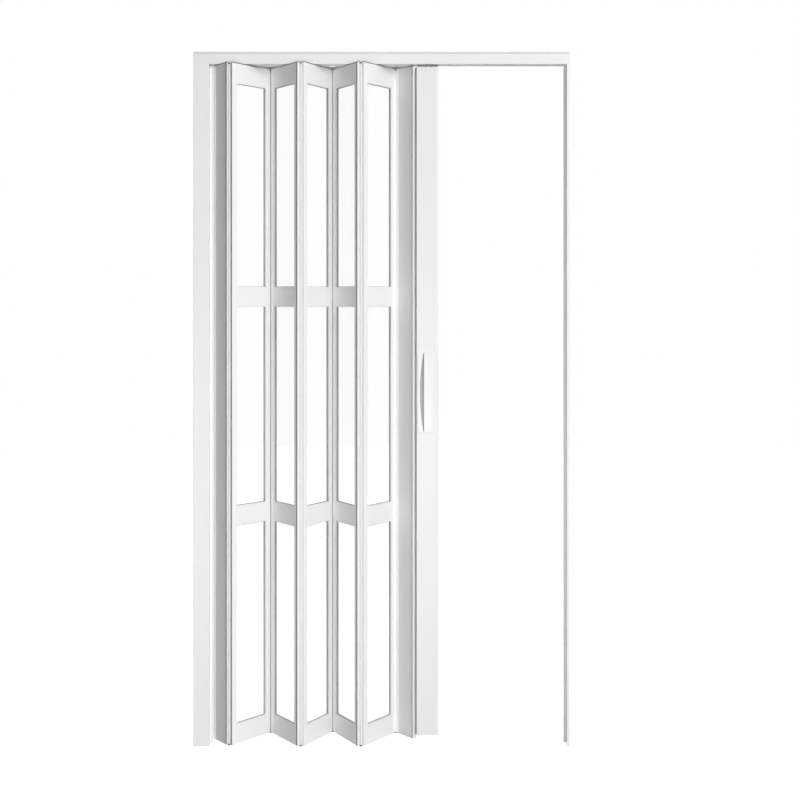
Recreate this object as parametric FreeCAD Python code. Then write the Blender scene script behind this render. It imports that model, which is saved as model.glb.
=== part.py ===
import FreeCAD, Part
import math
import os

from FreeCAD import Vector

# Aluminium folding door, seen from the room: X runs to the right, Y into the wall, Z up.
# The origin is the middle of the top face of the head track, so everything hangs below it.
# Lengths are millimetres and angles are degrees.

# Opening
OVERALL_WIDTH = 1100.0
OVERALL_HEIGHT = 2030.0
UNDER_TRACK_GAP = 3.5
LEAD_TRACK_GAP = 7.0
LEAF_FLOOR_GAP = 17.0
LEAD_FLOOR_GAP = 30.0

# Head track
TRACK_HEIGHT = 36.0
TRACK_DEPTH = 42.0
TRACK_WALL = 1.6
TRACK_CAP = 1.5
TRACK_SLOT = 14.0
LEDGE_LEVEL = 24.0
LEDGE_WALL = 1.6
LEDGE_RIB = 1.4
LEDGE_RIB_WIDTH = 1.2
SHADOW_LEVEL = 3.6
SHADOW_WIDTH = 1.2
SHADOW_DEPTH = 0.8
SCREW_COUNT = 4
SCREW_END_MARGIN = 40.0
SCREW_RADIUS = 2.25

# Jambs
JAMB_WIDTH = 46.0
JAMB_WALL = 1.6
JAMB_CORNER = 1.2
JAMB_LINE_PLACE = 9.6
JAMB_LINE_WIDTH = 1.0
JAMB_LINE_DEPTH = 0.6
RECEIVER_WIDTH = 7.4
RECEIVER_DEPTH = 12.0
RECEIVER_WALL = 1.4
RECEIVER_FLOOR_GAP = 5.0
STRIKE_FRONT_FLANGE = 8.0
STRIKE_BACK_FLANGE = 13.0

# Leaves: the pitch is the distance between two hinge axes
LEAF_PITCH = 162.0
SLAT_PITCH = 81.0
SLAT_ANGLE = 48.4
LEAF_ANGLES = [47.4, 52.8, 57.7, 57.6, 51.7]
LEAF_THICKNESS = 9.0
SLAT_THICKNESS = 6.0
SLAT_CELLS = 5
LEAF_WALL = 1.2
LEAF_NOSE = 1.5
STILE_WIDTH = 18.5
RAIL_HEIGHT = 58.0
LOWER_RAIL_HEIGHT = 678.0
UPPER_RAIL_HEIGHT = 1314.0

# Panes
GLASS_THICKNESS = 3.0
GLASS_CLEARANCE = 0.3
GROOVE_DEPTH = 7.0
GROOVE_END_CLEARANCE = 0.4

# Hinge strips
HINGE_LEAF_THICKNESS = 1.2
HINGE_LEAF_WIDTH = 12.0
KNUCKLE_RADIUS = 2.2
KNUCKLE_GAP = 2.6
HINGE_END_GAP = 2.0

# Lead post
LEAD_WIDTH = 64.0
LEAD_DEPTH = 24.0
LEAD_WALL = 1.5
LEAD_INNER_CORNER = 1.0
LEAD_OUTER_CORNER = 6.0
LEAD_CAP = 3.0
LEAD_CAP_PLUG = 8.0
LEAD_RECEIVER_WIDTH = 1.4
LEAD_RECEIVER_DEPTH = 8.0
FIT = 0.2

# Handles
HANDLE_HEIGHT = 1034.0
PLATE_WIDTH = 40.0
PLATE_HEIGHT = 237.0
PLATE_THICKNESS = 2.4
PLATE_CORNER = 5.0
PLATE_INSET = 4.0
POCKET_INSET = 5.6
POCKET_WIDTH = 12.6
POCKET_HEIGHT = 231.0
POCKET_TIP = 2.0
POCKET_DEPTH = 9.0
POCKET_WALL = 1.2

# Hangers
WHEEL_RADIUS = 7.0
WHEEL_WIDTH = 5.0
WHEEL_PLACE = 12.0
WHEEL_LIFT = 0.1
AXLE_CLEARANCE = 0.1
AXLE_RADIUS = 1.5
TRUCK_LENGTH = 18.0
TRUCK_WIDTH = 11.0
TRUCK_HEIGHT = 9.0
STEM_RADIUS = 2.5
STEM_REACH = 12.0
LEAD_TRUCK_LENGTH = 46.0
LEAD_AXLE_SPACING = 30.0
LEAD_STEM_RADIUS = 4.0

# Levels and places that follow from the sizes above
FLOOR = -OVERALL_HEIGHT
LEAF_TOP = -TRACK_HEIGHT - UNDER_TRACK_GAP
LEAF_BOTTOM = FLOOR + LEAF_FLOOR_GAP
LEAD_TOP = -TRACK_HEIGHT - LEAD_TRACK_GAP
LEAD_BOTTOM = FLOOR + LEAD_FLOOR_GAP
HALF_LEAF = HINGE_LEAF_THICKNESS / 2
JAMB_FACE = -OVERALL_WIDTH / 2 + JAMB_WIDTH
ROOT_AXIS = JAMB_FACE + RECEIVER_WIDTH + KNUCKLE_GAP
WHEEL_LEVEL = -LEDGE_LEVEL + WHEEL_RADIUS + WHEEL_LIFT
PLUMB = Vector(0, 0, 1)


def outline(points):
    """Close a list of points into a face."""
    return Part.Face(Part.makePolygon(points + [points[0]]))


def prism(points, direction):
    """Extrude the closed outline of the points along a direction."""
    return outline(points).extrude(direction)


def block(low, high):
    """Make a box between two opposite corners."""
    size = high - low
    return Part.makeBox(size.x, size.y, size.z, low)


def rounded_bar(low, high, radii):
    """Make an upright bar whose corners, taken anticlockwise from the front left, are rounded."""
    bar = block(low, high)
    corners = [
        Vector(low.x, low.y, 0),
        Vector(high.x, low.y, 0),
        Vector(high.x, high.y, 0),
        Vector(low.x, high.y, 0),
    ]
    for corner, radius in zip(corners, radii):
        if radius > 0:
            edges = []
            for edge in bar.Edges:
                middle = edge.CenterOfMass
                flat = Vector(middle.x, middle.y, 0)
                upright = abs(edge.BoundBox.ZLength - (high.z - low.z)) < 1e-6
                if upright and flat.distanceToPoint(corner) < 1e-4:
                    edges.append(edge)
            bar = bar.makeFillet(radius, edges)
    return bar


def save(name, solids):
    """Write one node, made of one solid or of several that don't touch."""
    shape = solids[0] if len(solids) == 1 else Part.makeCompound(solids)
    shape.exportStep("parts/" + name + ".step")


def make_track():
    """Make the head track: two legs, a roof with screw holes, two running ledges and a shadow line."""
    half = TRACK_DEPTH / 2
    inside = half - TRACK_WALL
    slot = TRACK_SLOT / 2
    rib = slot + LEDGE_RIB_WIDTH
    top = -LEDGE_LEVEL
    under = top - LEDGE_WALL
    crest = top + LEDGE_RIB
    front = [
        (-half, -TRACK_HEIGHT),
        (-half, -SHADOW_LEVEL - SHADOW_WIDTH),
        (-half + SHADOW_DEPTH, -SHADOW_LEVEL - SHADOW_WIDTH),
        (-half + SHADOW_DEPTH, -SHADOW_LEVEL),
        (-half, -SHADOW_LEVEL),
        (-half, 0),
        (half, 0),
    ]
    right = [
        (half, -TRACK_HEIGHT),
        (inside, -TRACK_HEIGHT),
        (inside, under),
        (slot, under),
        (slot, crest),
        (rib, crest),
        (rib, top),
        (inside, top),
        (inside, -TRACK_WALL),
    ]
    left = [(-y, z) for y, z in reversed(right[1:])]
    start = -OVERALL_WIDTH / 2 + TRACK_CAP
    points = [Vector(start, y, z) for y, z in front + right + left]
    track = prism(points, Vector(OVERALL_WIDTH - 2 * TRACK_CAP, 0, 0))
    spacing = (OVERALL_WIDTH - 2 * SCREW_END_MARGIN) / (SCREW_COUNT - 1)
    for index in range(SCREW_COUNT):
        place = (index - (SCREW_COUNT - 1) / 2) * spacing
        base = Vector(place, 0, -TRACK_WALL)
        track = track.cut(Part.makeCylinder(SCREW_RADIUS, TRACK_WALL, base, PLUMB))
    return track


def make_track_caps():
    """Make the left and right end plates of the head track."""
    half = TRACK_DEPTH / 2
    caps = []
    for start in (-OVERALL_WIDTH / 2, OVERALL_WIDTH / 2 - TRACK_CAP):
        low = Vector(start, -half, -TRACK_HEIGHT)
        caps.append(block(low, Vector(start + TRACK_CAP, half, 0)))
    return caps


def make_left_jamb():
    """Make the hollow left jamb with its shadow line on the front."""
    half = TRACK_DEPTH / 2
    left = -OVERALL_WIDTH / 2
    low = Vector(left, -half, FLOOR)
    high = Vector(JAMB_FACE, half, -TRACK_HEIGHT)
    body = rounded_bar(low, high, [JAMB_CORNER, JAMB_CORNER, 0, 0])
    wall = Vector(JAMB_WALL, JAMB_WALL, 0)
    hollow = block(low + wall, high - wall)
    line_low = Vector(left + JAMB_LINE_PLACE, -half, FLOOR)
    line_high = Vector(line_low.x + JAMB_LINE_WIDTH, -half + JAMB_LINE_DEPTH, -TRACK_HEIGHT)
    return body.cut(hollow).cut(block(line_low, line_high))


def make_left_receiver():
    """Make the hollow strip beside the left jamb that the first hinge lies on."""
    low = Vector(JAMB_FACE, HALF_LEAF, FLOOR + RECEIVER_FLOOR_GAP)
    high = Vector(JAMB_FACE + RECEIVER_WIDTH, HALF_LEAF + RECEIVER_DEPTH, LEAF_TOP)
    wall = Vector(RECEIVER_WALL, RECEIVER_WALL, 0)
    return block(low, high).cut(block(low + wall, high - wall))


def make_right_jamb():
    """Make the shallow channel that the lead post closes into."""
    half = TRACK_DEPTH / 2
    right = OVERALL_WIDTH / 2
    web = right - JAMB_WALL
    points = [
        (right, -half),
        (right - STRIKE_FRONT_FLANGE, -half),
        (right - STRIKE_FRONT_FLANGE, -half + JAMB_WALL),
        (web, -half + JAMB_WALL),
        (web, half - JAMB_WALL),
        (right - STRIKE_BACK_FLANGE, half - JAMB_WALL),
        (right - STRIKE_BACK_FLANGE, half),
        (right, half),
    ]
    height = OVERALL_HEIGHT - TRACK_HEIGHT
    return prism([Vector(x, y, FLOOR) for x, y in points], Vector(0, 0, height))


class Leaf:
    """One leaf of the stack, between two hinge axes.

    The leaf is drawn along X with its first hinge axis at the origin, and then turned and moved.
    A leaf that runs back has its first hinge on its back, and one that comes forward on its front.
    """

    def __init__(self, start, pitch, angle, thickness, runs_back):
        self.start = start
        self.thickness = thickness
        self.runs_back = runs_back
        self.side = -1 if runs_back else 1
        offset = thickness + HINGE_LEAF_THICKNESS
        self.length = math.sqrt(pitch ** 2 - offset ** 2)
        lean = math.degrees(math.atan2(offset, self.length))
        self.turn = angle + lean if runs_back else -angle - lean
        chord = math.radians(angle if runs_back else -angle)
        self.end = start + Vector(pitch * math.cos(chord), pitch * math.sin(chord), 0)

    def depth(self, share):
        """Return how far across the leaf a share of its thickness lies, from its first hinge's face."""
        return self.side * (HALF_LEAF + share * self.thickness)

    def slab(self, start, end, bottom, top, near=0.0, far=1.0):
        """Make a box in the drawn leaf, between two shares of its thickness."""
        depths = sorted([self.depth(near), self.depth(far)])
        return block(Vector(start, depths[0], bottom), Vector(end, depths[1], top))

    def place(self, solid):
        """Turn and move a drawn solid to the leaf's place in the stack."""
        placed = solid.copy()
        placed.rotate(Vector(0, 0, 0), PLUMB, self.turn)
        placed.translate(self.start)
        return placed

    def direction(self):
        """Return the unit vector along the leaf."""
        turn = math.radians(self.turn)
        return Vector(math.cos(turn), math.sin(turn), 0)

    def crossing(self):
        """Return where along the leaf its middle plane crosses the middle of the track."""
        turn = math.radians(self.turn)
        middle = self.depth(0.5)
        return -(self.start.y + middle * math.cos(turn)) / math.sin(turn)

    def world_point(self, along, share):
        """Return the place of a point in the drawn leaf once the leaf is turned and moved."""
        turn = math.radians(self.turn)
        across = self.depth(share)
        x = along * math.cos(turn) - across * math.sin(turn)
        y = along * math.sin(turn) + across * math.cos(turn)
        return self.start + Vector(x, y, 0)


def make_leaves():
    """Lay the stack out from the jamb: a blank slat, the glazed leaves and a closing slat."""
    leaves = [Leaf(Vector(ROOT_AXIS, 0, 0), SLAT_PITCH, SLAT_ANGLE, SLAT_THICKNESS, False)]
    runs_back = True
    for angle in LEAF_ANGLES:
        leaves.append(Leaf(leaves[-1].end, LEAF_PITCH, angle, LEAF_THICKNESS, runs_back))
        runs_back = not runs_back
    last = leaves[-1].end
    closing_angle = math.degrees(math.asin(last.y / SLAT_PITCH))
    leaves.append(Leaf(last, SLAT_PITCH, closing_angle, SLAT_THICKNESS, runs_back))
    return leaves


def make_slat(leaf):
    """Make a blank hollow slat with ribs between its cells."""
    start = KNUCKLE_GAP
    end = leaf.length - KNUCKLE_GAP
    low = Vector(start, min(leaf.depth(0), leaf.depth(1)), LEAF_BOTTOM)
    high = Vector(end, max(leaf.depth(0), leaf.depth(1)), LEAF_TOP)
    body = rounded_bar(low, high, [LEAF_NOSE] * 4)
    cell = (end - start - LEAF_WALL * (SLAT_CELLS + 1)) / SLAT_CELLS
    share = LEAF_WALL / leaf.thickness
    for index in range(SLAT_CELLS):
        left = start + LEAF_WALL + index * (cell + LEAF_WALL)
        body = body.cut(leaf.slab(left, left + cell, LEAF_BOTTOM, LEAF_TOP, share, 1 - share))
    return leaf.place(body)


def make_stile(leaf, at_start):
    """Make one hollow stile with its rounded nose and the groove that holds the panes."""
    nose = KNUCKLE_GAP if at_start else leaf.length - KNUCKLE_GAP
    inward = 1 if at_start else -1
    inner = nose + inward * STILE_WIDTH
    depths = sorted([leaf.depth(0), leaf.depth(1)])
    low = Vector(min(nose, inner), depths[0], LEAF_BOTTOM)
    high = Vector(max(nose, inner), depths[1], LEAF_TOP)
    radii = [LEAF_NOSE, 0, 0, LEAF_NOSE] if at_start else [0, LEAF_NOSE, LEAF_NOSE, 0]
    body = rounded_bar(low, high, radii)
    share = LEAF_WALL / leaf.thickness
    cell_end = inner - inward * (GROOVE_DEPTH + LEAF_WALL)
    cell = sorted([nose + inward * LEAF_WALL, cell_end])
    body = body.cut(leaf.slab(cell[0], cell[1], LEAF_BOTTOM, LEAF_TOP, share, 1 - share))
    groove = sorted([inner - inward * GROOVE_DEPTH, inner])
    low_share, high_share = groove_shares(leaf)
    body = body.cut(leaf.slab(groove[0], groove[1], LEAF_BOTTOM, LEAF_TOP, low_share, high_share))
    return leaf.place(body)


def groove_shares(leaf):
    """Return the shares of a leaf's thickness between which its glazing groove lies."""
    half = (GLASS_THICKNESS / 2 + GLASS_CLEARANCE) / leaf.thickness
    return 0.5 - half, 0.5 + half


def rail_levels():
    """Return the bottom level of each rail, from the lowest up."""
    return [
        LEAF_BOTTOM,
        FLOOR + LOWER_RAIL_HEIGHT - RAIL_HEIGHT / 2,
        FLOOR + UPPER_RAIL_HEIGHT - RAIL_HEIGHT / 2,
        LEAF_TOP - RAIL_HEIGHT,
    ]


def make_rail(leaf, bottom, grooved_below, grooved_above, drilled):
    """Make one hollow rail between the stiles, with a pane groove on each edge that meets glass."""
    start = KNUCKLE_GAP + STILE_WIDTH
    end = leaf.length - KNUCKLE_GAP - STILE_WIDTH
    top = bottom + RAIL_HEIGHT
    body = leaf.slab(start, end, bottom, top)
    share = LEAF_WALL / leaf.thickness
    low_share, high_share = groove_shares(leaf)
    cell_bottom = bottom + LEAF_WALL
    cell_top = top - LEAF_WALL
    if grooved_below:
        cell_bottom += GROOVE_DEPTH
        body = body.cut(leaf.slab(start, end, bottom, bottom + GROOVE_DEPTH, low_share, high_share))
    if grooved_above:
        cell_top -= GROOVE_DEPTH
        body = body.cut(leaf.slab(start, end, top - GROOVE_DEPTH, top, low_share, high_share))
    body = body.cut(leaf.slab(start, end, cell_bottom, cell_top, share, 1 - share))
    if drilled:
        base = Vector(leaf.crossing(), leaf.depth(0.5), top - LEAF_WALL)
        body = body.cut(Part.makeCylinder(STEM_RADIUS + FIT, LEAF_WALL, base, PLUMB))
    return leaf.place(body)


def make_rails(leaf):
    """Make the four rails of a glazed leaf."""
    levels = rail_levels()
    rails = []
    for index, bottom in enumerate(levels):
        lowest = index == 0
        highest = index == len(levels) - 1
        rails.append(make_rail(leaf, bottom, not lowest, not highest, highest))
    return rails


def make_panes(leaf):
    """Make the three panes of a glazed leaf, each held in the grooves round it."""
    bite = GROOVE_DEPTH - GROOVE_END_CLEARANCE
    start = KNUCKLE_GAP + STILE_WIDTH - bite
    end = leaf.length - KNUCKLE_GAP - STILE_WIDTH + bite
    half = GLASS_THICKNESS / 2 / leaf.thickness
    levels = rail_levels()
    panes = []
    for lower, upper in zip(levels, levels[1:]):
        bottom = lower + RAIL_HEIGHT - bite
        top = upper + bite
        panes.append(leaf.place(leaf.slab(start, end, bottom, top, 0.5 - half, 0.5 + half)))
    return panes


def hinge_leaf(axis, direction, length, bottom, top):
    """Make one flat leaf of a hinge strip, from its axis outwards."""
    plate = block(Vector(0, -HALF_LEAF, bottom), Vector(length, HALF_LEAF, top))
    plate.rotate(Vector(0, 0, 0), PLUMB, math.degrees(math.atan2(direction.y, direction.x)))
    plate.translate(axis)
    return plate


def make_hinge(axis, first, second):
    """Make a hinge strip: a knuckle on the axis and a leaf towards each side.

    Each side is a direction and the width of the leaf that lies along it.
    """
    bottom = LEAF_BOTTOM + HINGE_END_GAP
    top = LEAF_TOP - HINGE_END_GAP
    base = Vector(axis.x, axis.y, bottom)
    knuckle = Part.makeCylinder(KNUCKLE_RADIUS, top - bottom, base, PLUMB)
    strip = knuckle
    for direction, width in (first, second):
        strip = strip.fuse(hinge_leaf(axis, direction, width, bottom, top))
    return strip.removeSplitter()


def make_hinges(leaves):
    """Make every hinge strip of the stack, named from the jamb to the lead post."""
    left = (Vector(-1, 0, 0), RECEIVER_WIDTH + KNUCKLE_GAP - FIT)
    right = (Vector(1, 0, 0), LEAD_RECEIVER_WIDTH + KNUCKLE_GAP - FIT)
    hinges = {"root_hinge": make_hinge(leaves[0].start, left, (leaves[0].direction(), HINGE_LEAF_WIDTH))}
    for index, (before, after) in enumerate(zip(leaves, leaves[1:]), 1):
        first = (before.direction() * -1, HINGE_LEAF_WIDTH)
        second = (after.direction(), HINGE_LEAF_WIDTH)
        hinges["fold_hinge_%d" % index] = make_hinge(after.start, first, second)
    last = (leaves[-1].direction() * -1, HINGE_LEAF_WIDTH)
    hinges["lead_hinge"] = make_hinge(leaves[-1].end, last, right)
    return hinges


def upright_outline(points, start, place):
    """Make a face in the XZ plane from points, with an arc through the first, the place and the last."""
    edges = []
    for first, second in zip(points, points[1:]):
        edges.append(Part.LineSegment(first, second).toShape())
    edges.append(Part.Arc(points[-1], place, start).toShape())
    return Part.Face(Part.Wire(edges))


def pocket_outline(left, depth, grow):
    """Make the crescent of a handle's pocket, grown on all sides, at a depth."""
    right = left + POCKET_WIDTH
    tip = right - POCKET_TIP - grow
    middle = FLOOR + HANDLE_HEIGHT
    half = POCKET_HEIGHT / 2 + grow
    start = Vector(tip, depth, middle - half)
    points = [
        start,
        Vector(right + grow, depth, middle - half),
        Vector(right + grow, depth, middle + half),
        Vector(tip, depth, middle + half),
    ]
    return upright_outline(points, start, Vector(left - grow, depth, middle))


def make_handle(lead_left, face):
    """Make one pull: a thin plate on the post's face and a crescent pocket sunk into the post.

    The face is the side of the post that the plate lies on, -1 for the front and 1 for the back.
    """
    surface = face * LEAD_DEPTH / 2
    outer = surface + face * PLATE_THICKNESS
    floor = surface - face * POCKET_DEPTH
    middle = FLOOR + HANDLE_HEIGHT
    left = lead_left + PLATE_INSET
    low = Vector(left, min(surface, outer), middle - PLATE_HEIGHT / 2)
    high = Vector(left + PLATE_WIDTH, max(surface, outer), middle + PLATE_HEIGHT / 2)
    plate = block(low, high)
    corners = [edge for edge in plate.Edges if edge.BoundBox.YLength > PLATE_THICKNESS / 2]
    plate = plate.makeFillet(PLATE_CORNER, corners)
    pocket_left = left + POCKET_INSET
    inward = Vector(0, -face, 0)
    cup = pocket_outline(pocket_left, surface, POCKET_WALL).extrude(inward * POCKET_DEPTH)
    hollow = pocket_outline(pocket_left, outer, 0)
    hollow = hollow.extrude(inward * (abs(outer - floor) - POCKET_WALL))
    return plate.fuse(cup).cut(hollow).removeSplitter()


def make_lead_post(lead_left):
    """Make the hollow lead post, rounded on its closing edge, with a window for each pull."""
    low = Vector(lead_left, -LEAD_DEPTH / 2, LEAD_BOTTOM + LEAD_CAP)
    high = Vector(lead_left + LEAD_WIDTH, LEAD_DEPTH / 2, LEAD_TOP - LEAD_CAP)
    radii = [LEAD_INNER_CORNER, LEAD_OUTER_CORNER, LEAD_OUTER_CORNER, LEAD_INNER_CORNER]
    body = rounded_bar(low, high, radii)
    wall = Vector(LEAD_WALL, LEAD_WALL, 0)
    inner_corner = LEAD_OUTER_CORNER - LEAD_WALL
    body = body.cut(rounded_bar(low + wall, high - wall, [0, inner_corner, inner_corner, 0]))
    window_left = lead_left + PLATE_INSET + POCKET_INSET
    for face in (-1, 1):
        surface = face * LEAD_DEPTH / 2
        window = pocket_outline(window_left, surface, POCKET_WALL + FIT)
        body = body.cut(window.extrude(Vector(0, -face * LEAD_WALL, 0)))
    return body


def make_lead_cap(lead_left, at_top):
    """Make a moulded end cap: a plate on the post's end and a plug inside the post."""
    outer = LEAD_TOP if at_top else LEAD_BOTTOM
    inward = -1 if at_top else 1
    seat = outer + inward * LEAD_CAP
    plug_end = seat + inward * LEAD_CAP_PLUG
    radii = [LEAD_INNER_CORNER, LEAD_OUTER_CORNER, LEAD_OUTER_CORNER, LEAD_INNER_CORNER]
    low = Vector(lead_left, -LEAD_DEPTH / 2, min(outer, seat))
    high = Vector(lead_left + LEAD_WIDTH, LEAD_DEPTH / 2, max(outer, seat))
    cap = rounded_bar(low, high, radii)
    margin = LEAD_WALL + FIT
    plug_low = Vector(low.x + margin, low.y + margin, min(seat, plug_end))
    plug_high = Vector(high.x - LEAD_OUTER_CORNER, high.y - margin, max(seat, plug_end))
    cap = cap.fuse(block(plug_low, plug_high))
    if at_top:
        base = Vector(lead_left + LEAD_WIDTH / 2, 0, plug_end)
        cap = cap.cut(Part.makeCylinder(LEAD_STEM_RADIUS + FIT, outer - plug_end, base, PLUMB))
    return cap.removeSplitter()


def make_lead_receiver(lead_left):
    """Make the strip on the post's inner edge that the last hinge lies on."""
    low = Vector(lead_left - LEAD_RECEIVER_WIDTH, -HALF_LEAF - LEAD_RECEIVER_DEPTH, LEAD_BOTTOM + LEAD_CAP)
    return block(low, Vector(lead_left, -HALF_LEAF, LEAD_TOP - LEAD_CAP))


def make_truck(middle, length, axles, stem_radius, carried_top):
    """Make a hanger's body with its axle bores and the stem that goes down into what it carries."""
    low = Vector(middle - length / 2, -TRUCK_WIDTH / 2, WHEEL_LEVEL - TRUCK_HEIGHT / 2)
    high = Vector(middle + length / 2, TRUCK_WIDTH / 2, WHEEL_LEVEL + TRUCK_HEIGHT / 2)
    truck = block(low, high)
    bore = AXLE_RADIUS + AXLE_CLEARANCE
    for axle in axles:
        base = Vector(axle, low.y, WHEEL_LEVEL)
        truck = truck.cut(Part.makeCylinder(bore, TRUCK_WIDTH, base, Vector(0, 1, 0)))
    foot = Vector(middle, 0, carried_top - STEM_REACH)
    stem = Part.makeCylinder(stem_radius, low.z - foot.z, foot, PLUMB)
    return truck.fuse(stem).removeSplitter()


def make_wheels(axles):
    """Make the wheel pairs: two wheels pressed on one axle that turns in the hanger's body."""
    pairs = []
    for axle in axles:
        base = Vector(axle, -WHEEL_PLACE, WHEEL_LEVEL)
        pair = Part.makeCylinder(AXLE_RADIUS, 2 * WHEEL_PLACE, base, Vector(0, 1, 0))
        for side in (-1, 1):
            face = Vector(axle, side * WHEEL_PLACE - WHEEL_WIDTH / 2, WHEEL_LEVEL)
            pair = pair.fuse(Part.makeCylinder(WHEEL_RADIUS, WHEEL_WIDTH, face, Vector(0, 1, 0)))
        pairs.append(pair.removeSplitter())
    return pairs


def build_frame():
    """Write the fixed pieces round the opening."""
    left_cap, right_cap = make_track_caps()
    save("top_track", [make_track()])
    save("left_track_cap", [left_cap])
    save("right_track_cap", [right_cap])
    save("left_jamb", [make_left_jamb()])
    save("left_receiver", [make_left_receiver()])
    save("right_jamb", [make_right_jamb()])


def build_stack(leaves):
    """Write the slats, the glazed leaves and the hinge strips between them."""
    save("starter_slat", [make_slat(leaves[0])])
    save("closing_slat", [make_slat(leaves[-1])])
    for index, leaf in enumerate(leaves[1:-1], 1):
        name = "panel_%d" % index
        save(name + "_stiles", [make_stile(leaf, True), make_stile(leaf, False)])
        save(name + "_rails", make_rails(leaf))
        save(name + "_glass", make_panes(leaf))
    for name, hinge in make_hinges(leaves).items():
        save(name, [hinge])


def build_lead(lead_left):
    """Write the lead post with its caps, its hinge strip's seat and its pulls."""
    save("lead_post", [make_lead_post(lead_left)])
    save("lead_receiver", [make_lead_receiver(lead_left)])
    save("lead_top_cap", [make_lead_cap(lead_left, True)])
    save("lead_bottom_cap", [make_lead_cap(lead_left, False)])
    save("front_handle", [make_handle(lead_left, -1)])
    save("rear_handle", [make_handle(lead_left, 1)])


def build_hangers(leaves, lead_left):
    """Write the hangers that run in the track."""
    trucks = []
    wheels = []
    for leaf in leaves[1:-1]:
        middle = leaf.world_point(leaf.crossing(), 0.5).x
        trucks.append(make_truck(middle, TRUCK_LENGTH, [middle], STEM_RADIUS, LEAF_TOP))
        wheels.extend(make_wheels([middle]))
    save("panel_hangers", trucks)
    save("hanger_wheels", wheels)
    middle = lead_left + LEAD_WIDTH / 2
    axles = [middle - LEAD_AXLE_SPACING / 2, middle + LEAD_AXLE_SPACING / 2]
    carriage = make_truck(middle, LEAD_TRUCK_LENGTH, axles, LEAD_STEM_RADIUS, LEAD_TOP)
    save("lead_carriage", [carriage])
    save("lead_wheels", make_wheels(axles))


def build():
    """Write every node of the door."""
    os.makedirs("parts", exist_ok=True)
    leaves = make_leaves()
    lead_left = leaves[-1].end.x + KNUCKLE_GAP + LEAD_RECEIVER_WIDTH
    build_frame()
    build_stack(leaves)
    build_lead(lead_left)
    build_hangers(leaves, lead_left)


build()
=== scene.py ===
"""Looks of a white aluminium folding door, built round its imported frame.

Lengths are metres. X runs to the right seen from the room, Y into the wall and Z up.
The origin is the middle of the top face of the head track.
"""

from __future__ import annotations

import logging
import math
from dataclasses import dataclass, field
from enum import Enum
from typing import Any

import bpy
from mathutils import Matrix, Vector

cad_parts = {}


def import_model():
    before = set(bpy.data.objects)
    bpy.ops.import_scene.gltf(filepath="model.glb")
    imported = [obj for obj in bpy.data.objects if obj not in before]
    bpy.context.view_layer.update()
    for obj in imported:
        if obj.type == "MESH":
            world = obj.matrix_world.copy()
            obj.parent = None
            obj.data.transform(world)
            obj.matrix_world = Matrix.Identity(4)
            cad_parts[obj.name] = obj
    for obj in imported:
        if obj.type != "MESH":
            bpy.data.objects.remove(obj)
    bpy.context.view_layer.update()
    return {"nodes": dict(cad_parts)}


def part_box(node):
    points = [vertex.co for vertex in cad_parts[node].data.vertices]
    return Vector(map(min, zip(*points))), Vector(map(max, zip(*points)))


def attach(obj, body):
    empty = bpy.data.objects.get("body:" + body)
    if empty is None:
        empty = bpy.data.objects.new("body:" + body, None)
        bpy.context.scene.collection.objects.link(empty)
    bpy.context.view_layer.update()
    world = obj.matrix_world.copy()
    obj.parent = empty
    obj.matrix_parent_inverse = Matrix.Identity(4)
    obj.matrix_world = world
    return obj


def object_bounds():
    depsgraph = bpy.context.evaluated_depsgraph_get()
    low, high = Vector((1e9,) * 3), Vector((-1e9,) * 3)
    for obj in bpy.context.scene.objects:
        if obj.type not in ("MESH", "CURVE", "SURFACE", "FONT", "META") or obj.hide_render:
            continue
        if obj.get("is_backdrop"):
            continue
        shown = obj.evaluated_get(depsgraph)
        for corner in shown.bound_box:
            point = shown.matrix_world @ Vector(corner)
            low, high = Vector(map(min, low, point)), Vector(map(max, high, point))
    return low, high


LOG = logging.getLogger("folding_door")
MM = 0.001
BODY = "root"


class Side(Enum):
    """The two faces of a leaf or of the lead post."""

    ROOM = -1
    FAR = 1


class Recess(Enum):
    """What is cut into a screw's head for the driver."""

    CROSS = 2
    SLOT = 1


class Drawn(Enum):
    """The way an aluminium section was drawn, as the scale of its lines along X, Y and Z."""

    ACROSS = (0.06, 1.0, 1.0)
    UPRIGHT = (1.0, 1.0, 0.06)
    ALL_ROUND = (1.0, 1.0, 1.0)


class Wire:
    """A socket that takes part in a Python expression, each operator adding a Math node."""

    def __init__(self, graph: Graph, socket: bpy.types.NodeSocket) -> None:
        """Wrap a socket of a graph."""
        self.graph = graph
        self.socket = socket

    def math(self, operation: str, *values: Any) -> Wire:
        """Add one Math node, whose inputs are numbers or wires, and return its result."""
        inputs = dict(enumerate(values))
        return self.graph.add("ShaderNodeMath", {"operation": operation}, inputs)

    def __add__(self, other: Any) -> Wire:
        """Return the sum."""
        return self.math("ADD", self, other)

    __radd__ = __add__

    def __sub__(self, other: Any) -> Wire:
        """Return the difference."""
        return self.math("SUBTRACT", self, other)

    def __rsub__(self, other: Any) -> Wire:
        """Return the difference from a number."""
        return self.math("SUBTRACT", other, self)

    def __mul__(self, other: Any) -> Wire:
        """Return the product."""
        return self.math("MULTIPLY", self, other)

    __rmul__ = __mul__

    def __pow__(self, other: Any) -> Wire:
        """Return the power."""
        return self.math("POWER", self, other)

    def absolute(self) -> Wire:
        """Return the size without the sign."""
        return self.math("ABSOLUTE", self)

    def ramp(self, low: float, high: float) -> Wire:
        """Return a smooth rise from 0 at the low value to 1 at the high one."""
        inputs = {"Value": self, "From Min": low, "From Max": high}
        return self.graph.add("ShaderNodeMapRange", {"interpolation_type": "SMOOTHSTEP"}, inputs)


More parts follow.
